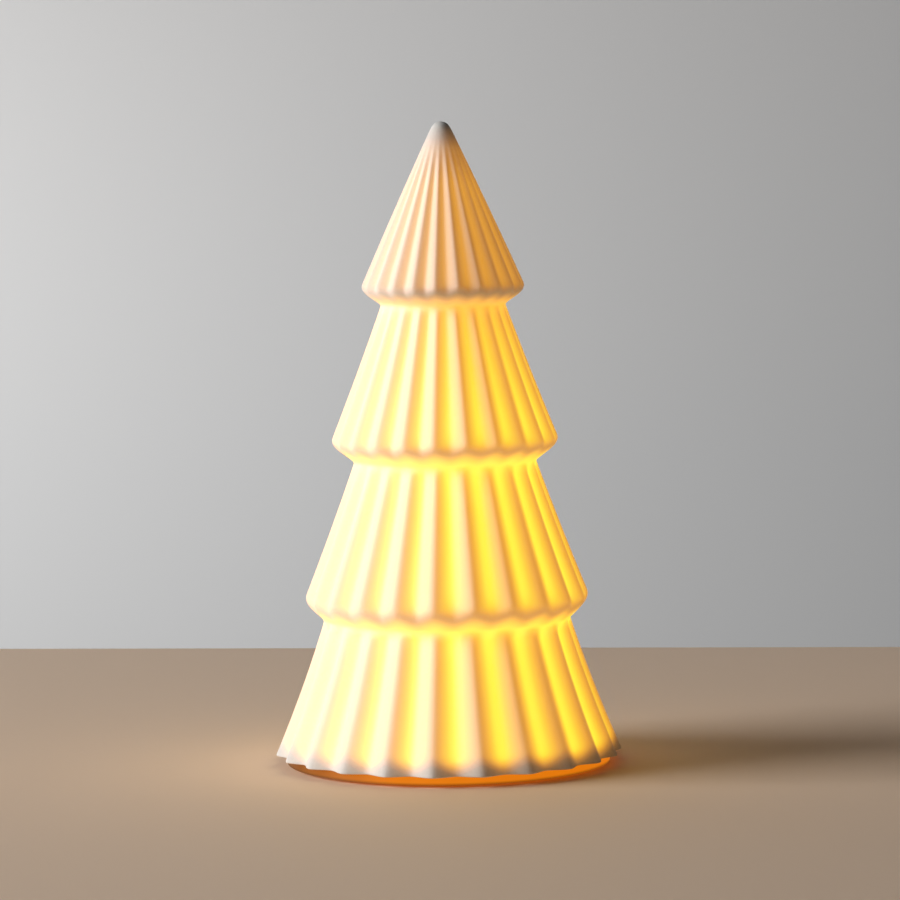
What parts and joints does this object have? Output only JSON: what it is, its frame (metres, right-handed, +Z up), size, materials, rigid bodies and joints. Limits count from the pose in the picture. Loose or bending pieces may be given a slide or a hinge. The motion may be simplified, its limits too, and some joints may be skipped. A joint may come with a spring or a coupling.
{
  "type": "lit ceramic tree",
  "caption": "Hollow fluted porcelain christmas tree in stacked conical tiers, glowing from a battery light base that it lifts off.",
  "frame": {"origin": "on the table plane under the feet, on the tree's axis", "axes": "+Z up along the tree's axis, the side seen in the picture faces -Y, +X to its right"},
  "size_m": [0.1296, 0.1296, 0.2394],
  "materials": {
    "bisque_porcelain": "matte bisque",
    "opal_plastic": "translucent satin",
    "silicone": "satin",
    "holder_plastic": "satin",
    "door_plastic": "satin",
    "board": "semi-gloss solder mask",
    "chip_plastic": "matte",
    "capacitor_sleeve": "gloss",
    "switch_can": "plain",
    "knob_plastic": "satin",
    "red_wire": "satin",
    "black_wire": "satin",
    "white_wire": "satin",
    "foot_rubber": "matte",
    "cell_wrap": "printed wrap, steel ends",
    "screw_steel": "zinc plated",
    "contact_metal": "nickel plated",
    "lead_metal": "tinned",
    "led_lens": "clear warm lens",
    "resistor_body": "matte"
  },
  "bodies": {
    "base": {"base_plate": "opal_plastic", "battery_1": "cell_wrap", "battery_2": "cell_wrap", "battery_3": "cell_wrap", "battery_holder": "holder_plastic", "black_lead": "black_wire", "board_screws": "screw_steel", "bridge_contact_1": "contact_metal", "bridge_contact_2": "contact_metal", "capacitor": "capacitor_sleeve", "circuit_board": "board", "contact_spring_1": "contact_metal", "contact_spring_2": "contact_metal", "contact_spring_3": "contact_metal", "foot_1": "foot_rubber", "foot_2": "foot_rubber", "foot_3": "foot_rubber", "foot_4": "foot_rubber", "grip_ring": "silicone", "holder_screws": "screw_steel", "led_1": "led_lens", "led_2": "led_lens", "led_3": "led_lens", "led_4": "led_lens", "led_5": "led_lens", "led_6": "led_lens", "led_leads_1": "lead_metal", "led_leads_2": "lead_metal", "led_leads_3": "lead_metal", "led_leads_4": "lead_metal", "led_leads_5": "lead_metal", "led_leads_6": "lead_metal", "negative_contact": "contact_metal", "positive_contact": "contact_metal", "red_lead": "red_wire", "resistor_1": "resistor_body", "resistor_2": "resistor_body", "switch_body": "switch_can", "switch_lead_1": "white_wire", "switch_lead_2": "white_wire", "switch_screws": "screw_steel", "timer_chip": "chip_plastic"},
    "shell": {"tree_shell": "bisque_porcelain"},
    "door": {"battery_door": "door_plastic", "door_screw": "screw_steel"},
    "knob": {"switch_knob": "knob_plastic"}
  },
  "joints": [
    {"name": "shell_lift", "type": "slide", "parent": "base", "child": "shell", "axis": [0, 0, 1], "range_m": [0, 0.06]},
    {"name": "door_hinge", "type": "hinge", "parent": "base", "child": "door", "pos_m": [0.0236, 0, 0.0023], "axis": [0, -1, 0], "range_deg": [0, 90]},
    {"name": "switch_slide", "type": "slide", "parent": "base", "child": "knob", "axis": [1, 0, 0], "range_m": [0, 0.004]}
  ]
}
